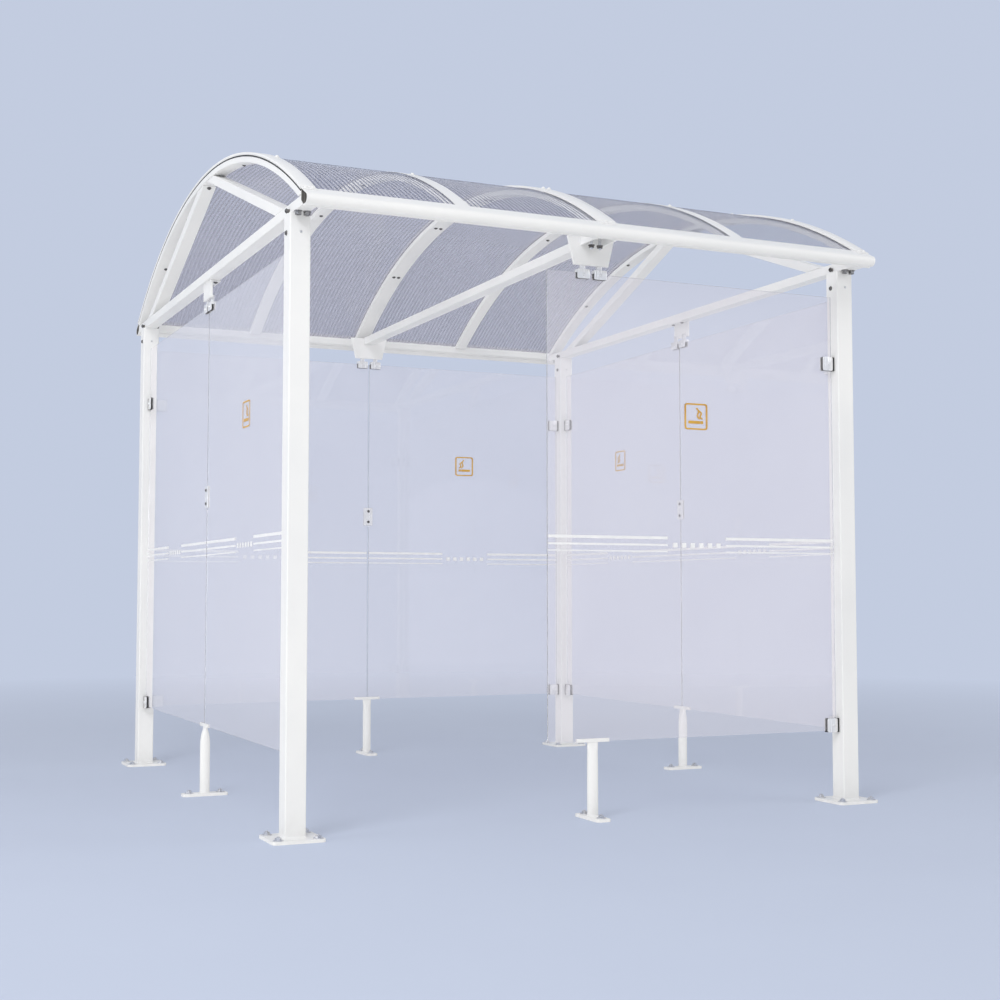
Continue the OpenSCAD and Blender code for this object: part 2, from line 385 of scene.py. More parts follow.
def powder_coat():
    """White powder coat: fine orange peel, faint clouding, a breath of dust near the ground."""
    made, tree, shader = finish_base("white_powder_coat")
    clouds = noise(tree, 2.3, 5.0)
    white = blend_colours(tree, spread(tree, clouds, 0.0, 1.0), (0.80, 0.805, 0.81), (0.86, 0.86, 0.855))
    low_down = spread(tree, along_axis(tree, object_coords(tree), "Z"), 0.22, 0.0, 0.0, 0.12)
    dust = arithmetic(tree, "MULTIPLY", low_down, spread(tree, noise(tree, 26.0, 6.0), 0.0, 1.0))
    shade(tree, shader, dust, white, (0.60, 0.585, 0.55))
    roughen(tree, shader, noise(tree, 11.0, 4.0), 0.30, 0.42)
    relief(tree, shader, noise(tree, 620.0, 2.0), 0.10, 0.0006)
    return made


def denser_on_one_side(tree, shader, above, below):
    """Sets how dense a thin sheet looks from above and from below."""
    upwards = facing_along(tree, "Z")
    tree.links.new(spread(tree, upwards, below, above, -0.05, 0.05), shader.inputs["Alpha"])


SHEET_TINT = (0.985, 0.985, 0.99)


def sheet_skin(name, dark, light, above, below):
    """A skin of twin-wall polycarbonate, seen through, with soft stripes where the ribs join it."""
    made, tree, shader = finish_base(name)
    along = along_axis(tree, object_coords(tree), "X")
    turns = arithmetic(tree, "MULTIPLY", along, 2 * math.pi / RIB_PITCH)
    stripes = spread(tree, arithmetic(tree, "SINE", turns, 0.0), 0.0, 0.85, -0.7, 0.7)
    clouds = spread(tree, noise(tree, 3.0, 4.0), 0.0, 0.15)
    shade(tree, shader, arithmetic(tree, "ADD", stripes, clouds), dark, light)
    roughen(tree, shader, noise(tree, 40.0, 3.0), 0.12, 0.22)
    denser_on_one_side(tree, shader, above, below)
    relief(tree, shader, noise(tree, 8.0, 2.0, (6.0, 1.0, 1.0)), 0.06, 0.002)
    let_light_through(tree, shader, SHEET_TINT)
    return made


def sheet_rib(name, dark, light, above, below):
    """Plastic of the ribs between the skins, seen edge on; also a painted dark line on each rib, which stands
    in for how the clear ribs look dark edge on from above.
    """
    made, tree, shader = finish_base(name)
    shade(tree, shader, spread(tree, noise(tree, 5.0, 3.0), 0.0, 1.0), dark, light)
    roughen(tree, shader, noise(tree, 30.0, 2.0), 0.25, 0.4)
    denser_on_one_side(tree, shader, above, below)
    let_light_through(tree, shader, SHEET_TINT)
    return made


def pane_glass(name, edge_axis):
    """Toughened glass with a cool tint, and a denser tint on its polished edges."""
    made, tree, shader = finish_base(name)
    upright = arithmetic(tree, "ABSOLUTE", facing_along(tree, "Z"), 0.0)
    sideways = arithmetic(tree, "ABSOLUTE", facing_along(tree, edge_axis), 0.0)
    on_edge = spread(tree, arithmetic(tree, "MAXIMUM", upright, sideways), 0.0, 1.0, 0.45, 0.75)
    ripple = spread(tree, noise(tree, 1.3, 3.0), 0.0, 1.0)
    face = blend_colours(tree, ripple, (0.93, 0.915, 0.945), (0.95, 0.935, 0.96))
    shade(tree, shader, on_edge, face, (0.84, 0.88, 0.90))
    shader.inputs["Transmission Weight"].default_value = 0.86
    shader.inputs["Roughness"].default_value = 0.0
    shader.inputs["IOR"].default_value = 1.5
    let_light_through(tree, shader, (0.955, 0.955, 0.965))
    return made


def mill_aluminium_and_painted_shade():
    """Bare extruded aluminium, dull, for the inside of the eave beams; its dark colour is painted shade for
    the hollow seen at the open ends.
    """
    made, tree, shader = finish_base("dull_aluminium")
    lines = noise(tree, 90.0, 3.0, (0.05, 1.0, 1.0))
    shade(tree, shader, lines, (0.16, 0.15, 0.14), (0.28, 0.265, 0.25))
    roughen(tree, shader, lines, 0.45, 0.65)
    shader.inputs["Metallic"].default_value = 0.4
    return made


def brushed_steel():
    """Stainless steel brushed along Z."""
    made, tree, shader = finish_base("brushed_stainless")
    fine = noise(tree, 320.0, 3.0, (1.0, 1.0, 0.06))
    shade(tree, shader, fine, (0.82, 0.82, 0.83), (0.91, 0.91, 0.915))
    roughen(tree, shader, fine, 0.16, 0.30)
    shader.inputs["Metallic"].default_value = 0.4
    relief(tree, shader, fine, 0.12, 0.0003)
    return made


def bolt_steel(name, dark, light):
    """Plated steel, mottled, with bright and dull patches."""
    made, tree, shader = finish_base(name)
    mottle = noise(tree, 160.0, 4.0)
    shade(tree, shader, spread(tree, mottle, 0.0, 1.0), dark, light)
    roughen(tree, shader, mottle, 0.26, 0.46)
    shader.inputs["Metallic"].default_value = 0.9
    relief(tree, shader, noise(tree, 900.0, 2.0), 0.08, 0.0003)
    return made


def black_rubber():
    """Black rubber with a matt grain."""
    made, tree, shader = finish_base("black_rubber")
    grain = noise(tree, 420.0, 4.0)
    shade(tree, shader, grain, (0.012, 0.012, 0.013), (0.035, 0.035, 0.036))
    roughen(tree, shader, grain, 0.62, 0.85)
    relief(tree, shader, grain, 0.2, 0.0004)
    return made


def sticker(name, dark, light, rough):
    """Cut film on the glass, a little uneven in tone."""
    made, tree, shader = finish_base(name)
    shade(tree, shader, spread(tree, noise(tree, 24.0, 4.0), 0.0, 1.0), dark, light)
    roughen(tree, shader, noise(tree, 60.0, 3.0), rough, rough + 0.12)
    return made


paint = powder_coat()
outer_skin = sheet_skin("twin_wall_outer_skin", (0.50, 0.51, 0.62), (0.56, 0.57, 0.68), 0.03, 0.05)
inner_skin = sheet_skin("twin_wall_inner_skin", (0.395, 0.392, 0.475), (0.495, 0.492, 0.58), 0.12, 0.46)
rib = sheet_rib("twin_wall_rib", (0.66, 0.67, 0.72), (0.72, 0.73, 0.78), 0.07, 0.07)
# Painted dark look: the real ribs are clear, and this dark tint, denser from above than from below, stands in
# for how they look dark edge on from above.
painted_dark_line = sheet_rib("twin_wall_rib_line", (0.13, 0.14, 0.21), (0.17, 0.18, 0.25), 0.60, 0.30)
glass_along_x = pane_glass("clear_glass_front_back", "X")
glass_along_y = pane_glass("clear_glass_sides", "Y")
# Painted shade: the dark colour of the eave beams' inside stands in for the shade in the hollow.
dull_metal_and_painted_shade = mill_aluminium_and_painted_shade()
stainless = brushed_steel()
dark_bolt = bolt_steel("dark_bolt_steel", (0.10, 0.095, 0.09), (0.24, 0.23, 0.22))
grey_bolt = bolt_steel("grey_bolt_steel", (0.15, 0.145, 0.14), (0.50, 0.49, 0.48))
bright_bolt = bolt_steel("zinc_bolt_steel", (0.52, 0.52, 0.53), (0.78, 0.78, 0.79))
rubber = black_rubber()
white_film = sticker("white_film", (0.80, 0.81, 0.83), (0.88, 0.88, 0.89), 0.35)
gold_film = sticker("gold_film", (0.56, 0.30, 0.035), (0.70, 0.41, 0.06), 0.30)


# Frame pieces that keep their shape: painted, with softened edges

WELD_REACH = 0.00002
FLAT_ANGLE = math.radians(0.4)
EDGE_ANGLE = math.radians(32.0)
TUBE_EDGE = 0.0035
PLATE_EDGE = 0.0012
ARCH_EDGE = 0.0015
STRIP_EDGE = 0.003
GLASS_EDGE = 0.0008
CLIP_EDGE = 0.001


def soften(made, edge, segments):
    """Makes the flat faces of a piece whole, then rounds its edges."""
    weld = made.modifiers.new("weld", "WELD")
    weld.merge_threshold = WELD_REACH
    flat = made.modifiers.new("flat", "DECIMATE")
    flat.decimate_type = "DISSOLVE"
    flat.angle_limit = FLAT_ANGLE
    bevel = made.modifiers.new("edge", "BEVEL")
    bevel.width = edge
    bevel.segments = segments
    bevel.limit_method = "ANGLE"
    bevel.angle_limit = EDGE_ANGLE
    bevel.harden_normals = True


def dress(node, finish, edge=0.0, segments=2):
    made = nodes[node]
    made.data.materials.clear()
    made.data.materials.append(finish)
    if edge > 0:
        soften(made, edge, segments)


for corner in ("front_left", "front_right", "back_left", "back_right"):
    dress("post_" + corner, paint)
    dress("base_plate_" + corner, paint, PLATE_EDGE)
for side in ("left", "middle", "right"):
    dress("tie_beam_" + side, paint, TUBE_EDGE, segments=3)
for corner in ("left_front", "left_back", "right_front", "right_back"):
    dress("rafter_" + corner, paint, TUBE_EDGE, segments=3)
for arch in ("left", "left_quarter", "middle", "right_quarter", "right"):
    dress("arch_" + arch, paint, ARCH_EDGE)
dress("cover_strips", paint, STRIP_EDGE, segments=3)
for side in ("front", "back", "left", "right"):
    dress("bracket_" + side, paint, PLATE_EDGE)
for node in ("glass_front", "glass_back_left", "glass_back_right"):
    dress(node, glass_along_x, GLASS_EDGE)
for node in ("glass_left_front", "glass_left_back", "glass_right_front", "glass_right_back"):
    dress(node, glass_along_y, GLASS_EDGE)
dress("joint_clips", stainless, CLIP_EDGE)


# Eave beams: an extruded section with a lip under it and two grooved lines

NOSE_R = 0.022
NOSE_Y = EAVE_NOSE - NOSE_R
NOSE_Z = EAVE_LOW + NOSE_R
EAVE_SLOPE = math.radians(28)
EAVE_WALL = 0.004
HEEL_RISE = 0.024
TOE_L = 0.022
NOSE_STEPS = 14
GROOVE = 0.003
LOW_GROOVE = (0.40, 0.005)
BACK_GROOVE = (0.20, 0.0025)
LIP_W, LIP_H = 0.004, 0.003
WEB_IN, WEB_T, WEB_SHORT = 0.035, 0.003, 0.001


def eave_outline(inset):
    """The corners of the section, anticlockwise from its heel round the nose to the top of its back."""
    r = NOSE_R - inset
    back = EAVE_BACK + inset
    low = EAVE_LOW + inset
    slope = math.atan2(HEEL_RISE, NOSE_Y - TOE_L - EAVE_BACK)
    rise = EAVE_LOW + HEEL_RISE + inset / math.cos(slope)
    heel = (back, rise - inset * math.tan(slope))
    toe = (EAVE_BACK + (rise - low) / math.tan(slope), low)
    start = -math.pi / 2
    sweep = math.pi - EAVE_SLOPE
    nose = []
    for i in range(NOSE_STEPS + 1):
        a = start + sweep * i / NOSE_STEPS
        nose.append((NOSE_Y + r * math.cos(a), NOSE_Z + r * math.sin(a)))
    top = (back, nose[-1][1] + (nose[-1][0] - back) * math.tan(EAVE_SLOPE))
    return [heel, toe] + nose + [top]


def grooved(p, q, share, width):
    """The corner p and the corners of a groove on the way from p to q."""
    p, q = Vector(p), Vector(q)
    along = (q - p).normalized() * width / 2
    into = Vector((-along.y, along.x)).normalized() * GROOVE
    middle = p.lerp(q, share)
    corners = (p, middle - along, middle - along + into, middle + along + into, middle + along)
    return [tuple(c) for c in corners]


def eave_beam(side, name, node):
    """A hollow beam with an upright web inside it."""
    heel, toe, *nose, top = eave_outline(0.0)
    lip_y = toe[0] + LIP_W
    lip = [toe, (toe[0], toe[1] - LIP_H), (lip_y, toe[1] - LIP_H), (lip_y, toe[1])]
    outer = grooved(heel, toe, *LOW_GROOVE) + lip + nose + grooved(top, heel, *BACK_GROOVE)
    inner = eave_outline(EAVE_WALL)
    bm = bmesh.new()
    caps = ([], [])
    for outline in (outer, inner):
        ends = []
        for x in (-EAVE_HALF_L, EAVE_HALF_L):
            ends.append([bm.verts.new((x, side * y, z)) for y, z in outline])
        for i in range(len(outline)):
            j = (i + 1) % len(outline)
            wall = bm.faces.new((ends[0][i], ends[0][j], ends[1][j], ends[1][i]))
            # The inner walls and the web take the dark aluminium, painted shade for the inside of the hollow.
            wall.material_index = 1 if outline is inner else 0
            for cap, end in zip(caps, ends):
                cap.append(bm.edges.get((end[i], end[j])))
    for cap in caps:
        bmesh.ops.triangle_fill(bm, use_beauty=True, edges=cap)
    web_top = top[1] - WEB_IN * math.tan(EAVE_SLOPE) - EAVE_WALL
    y0, y1 = sorted((side * (EAVE_BACK + WEB_IN), side * (EAVE_BACK + WEB_IN + WEB_T)))
    low = (WEB_SHORT - EAVE_HALF_L, y0, EAVE_LOW + EAVE_WALL)
    join(bm, block(low, (EAVE_HALF_L - WEB_SHORT, y1, web_top), 0.0), slot=1)
    bmesh.ops.recalc_face_normals(bm, faces=bm.faces)
    return piece(bm, name, [paint, dull_metal_and_painted_shade], SHARP_ON_EAVES, (node,))


eave_beam(-1, "eave_profile_front", "eave_beam_front")
eave_beam(1, "eave_profile_back", "eave_beam_back")


# Geometry trees for what repeats

CLOCK_RANGE = math.pi / 3
CLOCK_SEED = 7


def tree_base(name, inputs):
    """A geometry tree with its named inputs, and the identifier of each input."""
    tree = bpy.data.node_groups.new(name, "GeometryNodeTree")
    tree.interface.new_socket("Places", in_out="INPUT", socket_type="NodeSocketGeometry")
    keys = {}
    for label, kind in inputs:
        keys[label] = tree.interface.new_socket(label, in_out="INPUT", socket_type=kind).identifier
    tree.interface.new_socket("Result", in_out="OUTPUT", socket_type="NodeSocketGeometry")
    return tree, keys, tree.nodes.new("NodeGroupInput")


def tree_end(tree, instances, source):
    """Realizes the copies, paints them and gives them out."""
    real = tree.nodes.new("GeometryNodeRealizeInstances")
    coat = tree.nodes.new("GeometryNodeSetMaterial")
    out = tree.nodes.new("NodeGroupOutput")
    tree.links.new(instances, real.inputs["Geometry"])
    tree.links.new(real.outputs["Geometry"], coat.inputs["Geometry"])
    tree.links.new(source.outputs["Finish"], coat.inputs["Material"])
    tree.links.new(coat.outputs["Geometry"], out.inputs["Result"])


def fastener_tree():
    """Sets a fastener on every place, turned to its facing and clocked at random."""
    tree, keys, source = tree_base("fasteners_on_places", (
        ("Fastener", "NodeSocketObject"),
        ("Size", "NodeSocketFloat"),
        ("Seed", "NodeSocketInt"),
        ("Finish", "NodeSocketMaterial"),
    ))
    shape = tree.nodes.new("GeometryNodeObjectInfo")
    tree.links.new(source.outputs["Fastener"], shape.inputs["Object"])
    facing = tree.nodes.new("GeometryNodeInputNamedAttribute")
    facing.data_type = "FLOAT_VECTOR"
    facing.inputs["Name"].default_value = "facing"
    clock = tree.nodes.new("FunctionNodeRandomValue")
    clock.data_type = "FLOAT"
    for socket in clock.inputs:
        if socket.name == "Max" and socket.type == "VALUE":
            socket.default_value = CLOCK_RANGE
        if socket.name == "Seed":
            tree.links.new(source.outputs["Seed"], socket)
    spin = tree.nodes.new("FunctionNodeAxisAngleToRotation")
    value = next(s for s in clock.outputs if s.type == "VALUE")
    tree.links.new(value, spin.inputs["Angle"])
    aim = tree.nodes.new("FunctionNodeAlignRotationToVector")
    aim.axis = "Z"
    tree.links.new(spin.outputs["Rotation"], aim.inputs["Rotation"])
    tree.links.new(next(s for s in facing.outputs if s.type == "VECTOR"), aim.inputs["Vector"])
    copies = tree.nodes.new("GeometryNodeInstanceOnPoints")
    tree.links.new(source.outputs["Places"], copies.inputs["Points"])
    tree.links.new(shape.outputs["Geometry"], copies.inputs["Instance"])
    tree.links.new(aim.outputs["Rotation"], copies.inputs["Rotation"])
    tree.links.new(source.outputs["Size"], copies.inputs["Scale"])
    tree_end(tree, copies.outputs["Instances"], source)
    return tree, keys


def rib_tree():
    """Lays copies of one rib side by side along X at an even pitch."""
    tree, keys, source = tree_base("ribs_at_pitch", (
        ("Rib", "NodeSocketObject"),
        ("Count", "NodeSocketInt"),
        ("Start", "NodeSocketFloat"),
        ("Pitch", "NodeSocketFloat"),
        ("Finish", "NodeSocketMaterial"),
    ))
    shape = tree.nodes.new("GeometryNodeObjectInfo")
    tree.links.new(source.outputs["Rib"], shape.inputs["Object"])
    vectors = {}
    for label in ("Start", "Pitch"):
        vectors[label] = tree.nodes.new("ShaderNodeCombineXYZ")
        tree.links.new(source.outputs[label], vectors[label].inputs["X"])
    row = tree.nodes.new("GeometryNodeMeshLine")
    row.mode = "OFFSET"
    tree.links.new(source.outputs["Count"], row.inputs["Count"])
    tree.links.new(vectors["Start"].outputs["Vector"], row.inputs["Start Location"])
    tree.links.new(vectors["Pitch"].outputs["Vector"], row.inputs["Offset"])
    copies = tree.nodes.new("GeometryNodeInstanceOnPoints")
    tree.links.new(row.outputs["Mesh"], copies.inputs["Points"])
    tree.links.new(shape.outputs["Geometry"], copies.inputs["Instance"])
    tree_end(tree, copies.outputs["Instances"], source)
    return tree, keys


def grow(carrier, tree, values):
    """Runs a tree on carrier and keeps the result as carrier's own plain mesh."""
    modifier = carrier.modifiers.new("grow", "NODES")
    modifier.node_group = tree
    for key, value in values.items():
        modifier[key] = value
    carrier.update_tag()
    depsgraph = bpy.context.evaluated_depsgraph_get()
    mesh = bpy.data.meshes.new_from_object(carrier.evaluated_get(depsgraph))
    carrier.modifiers.clear()
    carrier.data = mesh
    mesh.name = carrier.name


def pattern(part, name):
    """A shape that is only copied, and is removed at the end."""
    made = new_object(name, mesh_from(part, name))
    made.hide_render = True
    patterns.append(made)
    return made


patterns = []
fasteners, fastener_keys = fastener_tree()
ribs, rib_keys = rib_tree()


def fasten(name, shape, places, finish, size=1.0):
    """Sets copies of a fastener at (point, direction) places, as one piece."""
    mesh = bpy.data.meshes.new(name)
    mesh.from_pydata([tuple(p) for p, _ in places], [], [])
    facing = mesh.attributes.new("facing", "FLOAT_VECTOR", "POINT")
    for i, (_, direction) in enumerate(places):
        facing.data[i].vector = direction
    made = new_object(name, mesh)
    grow(made, fasteners, {
        fastener_keys["Fastener"]: shape,
        fastener_keys["Size"]: size,
        fastener_keys["Seed"]: CLOCK_SEED,
        fastener_keys["Finish"]: finish,
    })
    return settle(made, SHARP_ON_ROUNDS)


# Twin-wall roof sheets: two skins with upright ribs between them, and a painted dark line on each rib

SKIN_T = 0.0008
RIB_T = 0.0011
# Width and thickness of the painted dark line on each rib.
DARK_LINE_W = 0.008
DARK_LINE_T = 0.0006
RIB_STEPS = ARC_STEPS // 2
LINE_GAP = 0.0002
WEB_GAP = 0.0008
RIB_SHORT = 0.0005
SHEET_EDGE = ROOF_HALF_L - 0.006
SEAL_OUT, SEAL_IN = 0.0018, 0.0082
SEAL_EDGE = ROOF_HALF_L - 0.0015
SEAL_GAP = 0.0002
SEAL_SHORT = 0.001


def roof_sheet(side, word):
    """Two skins, the ribs that join them and a painted dark line on each rib, which stands in for how the
    clear ribs look dark edge on from above.
    """
    inner, outer = side * SHEET_IN, side * SHEET_EDGE
    x0, x1 = min(inner, outer), max(inner, outer)
    bm = bmesh.new()
    join(bm, arc_bar(x0, x1, SHEET_DEPTH, SHEET_DEPTH + SKIN_T, SHEET_END))
    join(bm, arc_bar(x0, x1, ARCH_DEPTH - SKIN_T, ARCH_DEPTH, SHEET_END), slot=1)
    skins = [outer_skin, inner_skin]
    piece(bm, "sheet_skins_" + word, skins, SHARP_ON_ROUNDS, ("roof_sheet_" + word,))
    dark_line_top = SHEET_DEPTH + SKIN_T + LINE_GAP
    dark_line_low = dark_line_top + DARK_LINE_T
    web_low = ARCH_DEPTH - SKIN_T - WEB_GAP
    rib_row("sheet_ribs_" + word, x0, x1, RIB_T, (dark_line_low, web_low), rib)
    # A painted dark line on each rib, for the dark look of the clear ribs seen from above.
    rib_row("sheet_rib_lines_" + word, x0, x1, DARK_LINE_W, (dark_line_top, dark_line_low), painted_dark_line)


def rib_row(name, x0, x1, width, depths, finish):
    """Bars of that width between two depths, side by side from edge to edge of a sheet."""
    bar = arc_bar(-width / 2, width / 2, *depths, SHEET_END - RIB_SHORT, RIB_STEPS)
    one_rib = pattern(bar, "one_of_" + name)
    made = new_object(name, bpy.data.meshes.new(name))
    count = int((x1 - x0 - DARK_LINE_W) / RIB_PITCH) + 1
    spare = (x1 - x0) - (count - 1) * RIB_PITCH
    grow(made, ribs, {
        rib_keys["Rib"]: one_rib,
        rib_keys["Count"]: count,
        rib_keys["Start"]: x0 + spare / 2,
        rib_keys["Pitch"]: RIB_PITCH,
        rib_keys["Finish"]: finish,
    })
    settle(made, SHARP_ON_ROUNDS)


roof_sheet(-1, "left")
roof_sheet(1, "right")


def sheet_seals():
    """A black seal between two white trims on the outer edge of each sheet."""
    bm = bmesh.new()
    for side in (-1, 1):
        a, b = sorted((side * (SHEET_EDGE + SEAL_GAP), side * SEAL_EDGE))
        seal_out, seal_in = SHEET_DEPTH + SEAL_OUT, SHEET_DEPTH + SEAL_IN
        bars = (
            (seal_out, seal_in, 0),
            (SHEET_DEPTH + SEAL_GAP, seal_out, 1),
            (seal_in, ARCH_DEPTH - SEAL_GAP, 1),
        )
        for depth_out, depth_in, slot in bars:
            join(bm, arc_bar(a, b, depth_out, depth_in, SHEET_END - SEAL_SHORT), slot=slot)
    piece(bm, "roof_seals", [rubber, paint], sharp=SHARP_ON_ROUNDS)


sheet_seals()


# Thin flat cover strips over the quarter arches

QUARTER_STRIP_T = 0.001
QUARTER_STRIP_W = 0.060
QUARTER_STRIP_GAP = 0.0002
QUARTER_STRIP_SHORT = 0.002


def quarter_strips():
    bm = bmesh.new()
    half = QUARTER_STRIP_W / 2
    depths = (SHEET_DEPTH - QUARTER_STRIP_T, SHEET_DEPTH - QUARTER_STRIP_GAP)
    for x in (-QUARTER_ARCH_X, QUARTER_ARCH_X):
        join(bm, arc_bar(x - half, x + half, *depths, SHEET_END - QUARTER_STRIP_SHORT))
    piece(bm, "quarter_strips", [paint], SHARP_ON_ROUNDS)


quarter_strips()


# Strip ends: a thin tongue on the eave beam, held by two bolts

TONGUE_T = 0.003
TONGUE_L = 0.040
TONGUE_CORNER = 0.006
TONGUE_EDGE = 0.0008
TONGUE_OUT = 0.012
TONGUE_BOLT_OUT = 0.013
TONGUE_BOLT_HALF = 0.012
eave_top_dir = Vector((0.0, -math.cos(EAVE_SLOPE), math.sin(EAVE_SLOPE)))
eave_top_out = Vector((0.0, math.sin(EAVE_SLOPE), math.cos(EAVE_SLOPE)))
tangent_y = NOSE_Y + NOSE_R * math.sin(EAVE_SLOPE)
tangent_z = NOSE_Z + NOSE_R * math.cos(EAVE_SLOPE)


def eave_top_point(x, y, side):
    """A point on the sloping top of an eave beam."""
    z = tangent_z + (tangent_y - y) * math.tan(EAVE_SLOPE)
    return Vector((x, side * y, z))


def strip_tongues():
    bm = bmesh.new()
    for side in (-1, 1):
        for x in STRIP_PLACES:
            half = (MIDDLE_ARCH_W if x == 0.0 else ARCH_W) / 2
            outline = rounded(half, TONGUE_L / 2, TONGUE_CORNER)
            centre = eave_top_point(x, STRIP_END + TONGUE_OUT, side)
            up = Vector((0.0, side * eave_top_dir.y, eave_top_dir.z))
            right = Vector((-side, 0.0, 0.0))
            join(bm, prism(outline, TONGUE_T, TONGUE_EDGE), stand(centre, right, up))
    bmesh.ops.recalc_face_normals(bm, faces=bm.faces)
    piece(bm, "strip_tongues", [paint])


strip_tongues()


# Fasteners

WASHER_CHAMFER = 0.0004


def washer(outer_r, thick):
    """The profile of a washer with a chamfered rim."""
    rim = [(outer_r, 0.0), (outer_r, thick - WASHER_CHAMFER), (outer_r - WASHER_CHAMFER, thick)]
    return [(0.0, 0.0)] + rim + [(0.0, thick)]


def raised(part, z):
    part.transform(Matrix.Translation((0.0, 0.0, z)))
    return part


def hex_body(across, height, chamfer=0.0012):
    """A hexagon with a chamfered top."""
    r = across / math.sqrt(3)
    profile = [(0.0, 0.0), (r, 0.0), (r, height - chamfer), (r - chamfer * 1.2, height), (0.0, height)]
    return lathe(profile, 6)


def dome_bolt(washer_r):
    """A low dome head on a washer."""
    bm = bmesh.new()
    join(bm, lathe(washer(washer_r, 0.0016), 24))
    r, h, rim = 0.0080, 0.0066, 0.0012
    profile = [(0.0, 0.0), (r, 0.0)]
    for degrees in (0, 18, 36, 54, 72):
        a = math.radians(degrees)
        profile.append((r * math.cos(a), rim + h * math.sin(a)))
    profile.append((0.0, rim + h))
    join(bm, raised(lathe(profile, 20), 0.0014))
    return bm


def socket_bolt():
    """A button head with a hexagon socket, on a thin washer."""
    bm = bmesh.new()
    join(bm, lathe(washer(0.0100, 0.0014), 20))
    profile = [(0.0, 0.0), (0.0082, 0.0), (0.0082, 0.0014), (0.0074, 0.0034), (0.0058, 0.0048)]
    profile += [(0.0038, 0.0052), (0.0036, 0.0050), (0.0034, 0.0020), (0.0, 0.0020)]
    join(bm, raised(lathe(profile, 18), 0.0012))
    return bm


def spaced_bolt():
    """A button head on a sleeve that brings it out level with the post."""
    bm = bmesh.new()
    gap = POST_HALF - TIE_HALF
    join(bm, lathe([(0.0, 0.0), (0.0072, 0.0), (0.0072, gap), (0.0, gap)], 18))
    join(bm, raised(socket_bolt(), gap))
    return bm


def small_screw():
    """A small pan head with a socket."""
    profile = [(0.0, 0.0), (0.0050, 0.0), (0.0050, 0.0012), (0.0042, 0.0026), (0.0024, 0.0031)]
    profile += [(0.0022, 0.0029), (0.0021, 0.0012), (0.0, 0.0012)]
    return lathe(profile, 16)


def hanger_rod():
    """A rod with a chamfered end."""
    return lathe([(0.0, 0.0), (0.0058, 0.0), (0.0058, 0.0520), (0.0048, 0.0535), (0.0, 0.0535)], 16)


def hanger_nut():
    """A washer and a hexagon nut near the end of a rod."""
    bm = bmesh.new()
    join(bm, raised(lathe(washer(0.0135, 0.0026), 24), 0.0360))
    join(bm, raised(hex_body(0.0190, 0.0095), 0.0384))
    return bm


def hex_head():
    """A hexagon head with a low crown on a washer."""
    bm = bmesh.new()
    join(bm, lathe(washer(0.0155, 0.0026), 24))
    join(bm, raised(hex_body(0.0230, 0.0130), 0.0024))
    join(bm, raised(lathe([(0.0, 0.0), (0.0085, 0.0), (0.0070, 0.0016), (0.0, 0.0026)], 16), 0.0150))
    return bm


def anchor_nut():
    """A wide washer, a hexagon nut and the short end of a threaded anchor."""
    bm = bmesh.new()
    join(bm, lathe(washer(0.0190, 0.0030), 28))
    join(bm, raised(hex_body(0.0210, 0.0088), 0.0028))
    thread = [(0.0, 0.0), (0.0058, 0.0), (0.0058, 0.0016), (0.0050, 0.0022), (0.0056, 0.0030)]
    thread += [(0.0046, 0.0042), (0.0, 0.0042)]
    join(bm, raised(lathe(thread, 16), 0.0114))
    return bm


def lock_nut():
    """A low hexagon nut with a domed end, for the far side of a roof bolt."""
    bm = bmesh.new()
    join(bm, lathe(washer(0.0095, 0.0012), 20))
    join(bm, raised(hex_body(0.0125, 0.0034, 0.0010), 0.0010))
    join(bm, raised(lathe([(0.0, 0.0), (0.0045, 0.0), (0.0036, 0.0010), (0.0, 0.0014)], 14), 0.0042))
    return bm


dome = pattern(dome_bolt(0.0115), "pattern_dome_bolt")
wide_dome = pattern(dome_bolt(0.0260), "pattern_wide_dome_bolt")
rod = pattern(hanger_rod(), "pattern_hanger_rod")
rod_nut = pattern(hanger_nut(), "pattern_hanger_nut")
hex_bolt = pattern(hex_head(), "pattern_hex_bolt")
button = pattern(socket_bolt(), "pattern_socket_bolt")
spaced = pattern(spaced_bolt(), "pattern_spaced_bolt")
small = pattern(small_screw(), "pattern_small_screw")
anchor = pattern(anchor_nut(), "pattern_anchor_nut")
nut = pattern(lock_nut(), "pattern_lock_nut")

UP = Vector((0.0, 0.0, 1.0))
DOWN = -UP
CORNERS = [(sx, sy) for sx in (-1, 1) for sy in (-1, 1)]
END_ARCH_BOLTS = (-1.020, -0.520, 0.0, 0.520, 1.020)
INNER_ARCH_BOLTS = (-0.935, -0.320, 0.301, 0.905)
SMALLER = 0.8
PAIR_HALF = 0.0135
END_BOLT_SHIFT = 0.016
ANCHOR_HALF = 0.075
FOOT_ANCHOR_HALF = 0.070
POST_BOLT_Z = 2.238
POST_BOLT_IN = 0.006
POST_SCREW_SHIFT = 0.002
TIE_BOLT_UP = 0.013
EAVE_BOLT_OUT = 0.026
EAVE_BOLT_HALF = 0.017
RAFTER_SLOPE = math.radians(20.4)
RAFTER_RISE = 0.010
RAFTER_DEEP = 0.040
RAFTER_BOLT_Y = 0.050


